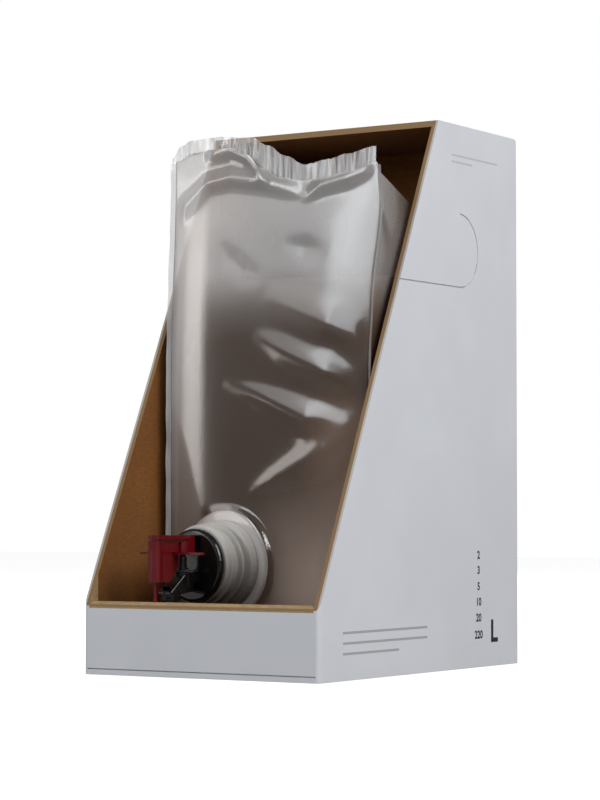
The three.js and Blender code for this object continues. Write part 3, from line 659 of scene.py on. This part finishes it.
def bag_point(turn, level):
    """A point of the bag: turn 0 to 4 goes front, right, back, left; level 0 to 1, floor to seal."""
    side, t, across, deep = side_of(turn)
    middle, half = (BAG_LEFT + BAG_RIGHT) / 2, (BAG_RIGHT - BAG_LEFT) / 2
    close = smoothstep(BACK_CLOSES, 1.0, level)
    inset = (1 - smoothstep(0, FOOT_ROUND, level)) ** 2
    rise = clamped((level - FOOT_FLOOR) / (1 - FOOT_FLOOR))
    rounding = max(deep - BACK_ROUND_FROM, 0) / (1 - BACK_ROUND_FROM)
    across *= 1 - BACK_NARROWS * rounding ** BACK_ROUND_POWER

    seal = interpolate(SEAL_LINE, middle + half * across)
    back = BACK_TOP - BACK_DROOP * abs(across) ** 3
    z_front = BAG_FLOOR + (seal - BAG_FLOOR) * rise
    z_back = BAG_FLOOR + (back - BAG_FLOOR) * min(rise / BACK_FULL, 1) + (seal - back) * close
    z = z_front + (z_back - z_front) * smoothstep(0, 1, deep)
    y_front = front_depth(z_front)
    y_back = y_front + (BAG_BACK - y_front) * (1 - close) + SEAL_GAP * close
    y = y_front + (y_back - y_front) * deep + (0.5 - deep) * FOOT_DRAWN_IN * inset
    x = middle + half * across * (1 - FOOT_NARROWS * inset)

    if side == 0:
        y = onto_flange(x, y - front_relief(x, z, t) * (1 - inset), z)
        x += interpolate(RIGHT_FLARE, z) * smoothstep(FLARE_FRONT_FROM, 1.0, t)
    elif side == 1:
        x += interpolate(RIGHT_FLARE, z_front) * smoothstep(FLARE_SIDE_TO, 0.0, deep)
    if side in (1, 3):
        wave = film_noise(SIDE_NOISE, y, z, side)
        x += math.copysign(1, across) * SIDE_WAVES * wave * math.sin(math.pi * deep)
    return Vector((x, y, z))


def bag_mesh():
    """The film as one closed shell, with the hole that the gland's neck comes through."""
    turns = [side + i / steps for side, steps in enumerate(BAG_COLUMNS) for i in range(steps)]
    count = len(turns)
    verts, holed, faces = [], [], []
    for j in range(BAG_LEVELS + 1):
        for turn in turns:
            point = bag_point(turn, j / BAG_LEVELS)
            away = weld_distance(point.x, point.z)
            inside = turn < 1 and away < HOLE
            if inside and away > 0:
                point.x = GLAND_X + (point.x - GLAND_X) * HOLE / away
                point.z = GLAND_Z + (point.z - GLAND_Z) * HOLE / away
                point.y = onto_flange(point.x, point.y, point.z)
            verts.append(point * MM)
            holed.append(inside)
    for j in range(BAG_LEVELS):
        for i in range(count):
            k = (i + 1) % count
            face = (j * count + i, j * count + k, (j + 1) * count + k, (j + 1) * count + i)
            if not all(holed[v] for v in face):
                faces.append(face)
    faces.append(tuple(range(count - 1, -1, -1)))
    return verts, faces


def grid_faces(columns, rows, turned=False):
    wide = columns + 1
    faces = []
    for j in range(rows):
        for i in range(columns):
            a = j * wide + i
            face = (a, a + 1, a + wide + 1, a + wide)
            faces.append(face[::-1] if turned else face)
    return faces


def seal_mesh():
    """The welded band over the bag's front film, with its upright crinkles."""
    width = BAG_RIGHT - BAG_LEFT + 2 * SEAM_WIDTH
    verts = []
    for j in range(SEAL_ROWS + 1):
        t = j / SEAL_ROWS
        for i in range(SEAL_COLUMNS + 1):
            x = BAG_LEFT - SEAM_WIDTH + width * i / SEAL_COLUMNS
            low, high = interpolate(SEAL_LINE, x) - SEAL_LAP, interpolate(SEAL_TOP, x)
            z = low + (high - low) * t
            z += SEAL_JAGS * t * film_noise(JAG_NOISE, x, z)
            y = front_depth(z) - SEAL_OUT
            y += SEAL_WAVES * t * film_noise(WAVE_NOISE, x, z)
            y += SEAL_CRINKLES * film_noise(CRINKLE_NOISE, x, z)
            verts.append(Vector((x, y, z)) * MM)
    return verts, grid_faces(SEAL_COLUMNS, SEAL_ROWS)


def seam_mesh(side):
    """The welded side seam: a narrow upright strip along the bag's front corner."""
    verts = []
    for j in range(SEAM_ROWS + 1):
        level = SEAM_LOW + (SEAM_HIGH - SEAM_LOW) * j / SEAM_ROWS
        root = bag_point(RIGHT_CORNER if side > 0 else 0.0, level)
        flutter = noise.noise(Vector((side, root.z * FLUTTER_RATE, 1.0)))
        for i in range(SEAM_COLUMNS + 1):
            t = i / SEAM_COLUMNS
            x = root.x + side * SEAM_WIDTH * t * (1 + FLUTTER_WIDE * flutter)
            y = root.y + SEAM_TUCK - SEAM_FORWARD * t + FLUTTER_DEEP * t * flutter
            verts.append(Vector((x, y, root.z)) * MM)
    return verts, grid_faces(SEAM_COLUMNS, SEAM_ROWS, turned=side < 0)


def make_bag():
    film, seal = film_material(), seal_material()
    pieces = [
        new_piece("bag", *bag_mesh(), film, "film"),
        new_piece("top_seal", *seal_mesh(), seal, "film"),
        new_piece("left_seam", *seam_mesh(-1), seal, "film"),
        new_piece("right_seam", *seam_mesh(1), seal, "film"),
    ]
    for piece in pieces:
        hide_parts("bag_film")
        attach(piece, BODY)


# Litre numbers on the right panel, in millimetres: text, middle along the panel, foot, height
COLUMN, FIGURE_HEIGHT = 55.5, 3.9
NUMBERS = [
    ("2", COLUMN, 56.2, FIGURE_HEIGHT),
    ("3", COLUMN, 48.4, FIGURE_HEIGHT),
    ("5", COLUMN, 40.0, FIGURE_HEIGHT),
    ("10", COLUMN, 32.0, FIGURE_HEIGHT),
    ("20", COLUMN, 23.8, FIGURE_HEIGHT),
    ("220", COLUMN, 15.0, FIGURE_HEIGHT),
    ("L", 72.0, 12.9, 11.0),
]
INK_LIFT = 0.04 * MM

# Shares of the font's size: the height of a capital, and how much the strokes are thickened
CAPITAL_SHARE, BOLDER = 0.69, 0.03


def make_numbers():
    ink = plastic_material("ink", (0.012, 0.012, 0.014), (0.03, 0.03, 0.034), 0.6)
    upright = Euler((math.pi / 2, 0, math.pi / 2)).to_matrix().to_4x4()
    verts, faces = [], []
    for text, middle, foot, height in NUMBERS:
        curve = bpy.data.curves.new("number", "FONT")
        curve.body = text
        curve.align_x = "CENTER"
        curve.size = height * MM / CAPITAL_SHARE
        curve.offset = BOLDER * curve.size
        written = bpy.data.objects.new("number", curve)
        mesh = bpy.data.meshes.new_from_object(written)
        place = Matrix.Translation((HALF_WIDTH + INK_LIFT, middle * MM, foot * MM)) @ upright
        start = len(verts)
        verts += [place @ v.co for v in mesh.vertices]
        faces += [tuple(start + v for v in face.vertices) for face in mesh.polygons]
        bpy.data.objects.remove(written)
    numbers = new_piece("print_numbers", verts, faces, ink, "board", smooth=False)
    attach(numbers, BODY)


make_camera()
make_stage()
dress_solids()
make_bag()
make_numbers()
